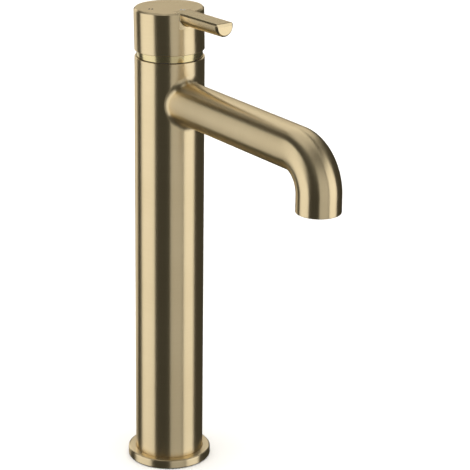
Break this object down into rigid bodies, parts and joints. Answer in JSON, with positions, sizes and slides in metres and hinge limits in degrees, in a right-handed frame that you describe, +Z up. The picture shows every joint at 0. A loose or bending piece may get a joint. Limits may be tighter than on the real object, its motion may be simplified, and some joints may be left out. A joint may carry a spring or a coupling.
{
  "type": "bathroom mixer faucet",
  "caption": "Tall single-lever basin mixer: slim round column on a base ring, flush cap with a straight lever, and a round side spout that turns down to its outlet.",
  "frame": {"origin": "centre of the base underside, on the deck plane and on the column's axis", "axes": "+Z up along the column, -Y towards the spout outlet and the lever, +X to the cold side"},
  "size_m": [0.0552, 0.1999, 0.3126],
  "materials": {
    "brushed_brass": "fine brushed brass under a clear satin lacquer",
    "polished_brass": "polished brass",
    "machined_brass": "turned and milled brass",
    "black_rubber": "matt black rubber",
    "white_plastic": "moulded white acetal",
    "grey_plastic": "moulded grey acetal",
    "white_ceramic": "lapped alumina",
    "stainless": "turned stainless steel",
    "hot_enamel": "dark red-brown filling",
    "cold_enamel": "grey-blue filling"
  },
  "bodies": {
    "body": {"column_body": "brushed_brass", "base_flange": "brushed_brass", "base_gasket": "black_rubber", "base_plug": "machined_brass", "hot_riser": "machined_brass", "cold_riser": "machined_brass", "riser_o_rings": "black_rubber", "valve_block": "machined_brass", "spout_tube": "brushed_brass", "spout_spigot": "machined_brass", "spigot_o_rings": "black_rubber", "spout_lock_screw": "stainless", "aerator_housing": "grey_plastic", "aerator_insert": "white_plastic", "aerator_washer": "black_rubber", "cartridge_base": "white_plastic", "cartridge_port_seals": "black_rubber", "disc_gasket": "black_rubber", "fixed_disc": "white_ceramic", "cartridge_housing": "white_plastic", "cartridge_nut": "machined_brass", "trim_collar": "polished_brass"},
    "turner": {"cartridge_rotor": "grey_plastic", "pivot_pin": "stainless"},
    "lever": {"handle": "brushed_brass", "lever_stem": "machined_brass", "handle_set_screw": "stainless", "handle_screw_plug": "polished_brass", "hot_mark": "hot_enamel", "cold_mark": "cold_enamel"},
    "disc": {"moving_disc": "white_ceramic", "disc_carrier": "grey_plastic"}
  },
  "joints": [
    {"name": "temperature_turn", "type": "hinge", "parent": "body", "child": "turner", "pos_m": [0, 0, 0.2812], "axis": [0, 0, 1], "range_deg": [-50, 50]},
    {"name": "lever_lift", "type": "hinge", "parent": "turner", "child": "lever", "pos_m": [0, 0, 0.2812], "axis": [-1, 0, 0], "range_deg": [0, 18]},
    {"name": "disc_slide", "type": "slide", "parent": "turner", "child": "disc", "axis": [0, -1, 0], "range_m": [0, 0.0021]}
  ],
  "couplings": [
    {"joint": "disc_slide", "follows": "lever_lift", "m_per_rad": 0.00653}
  ]
}
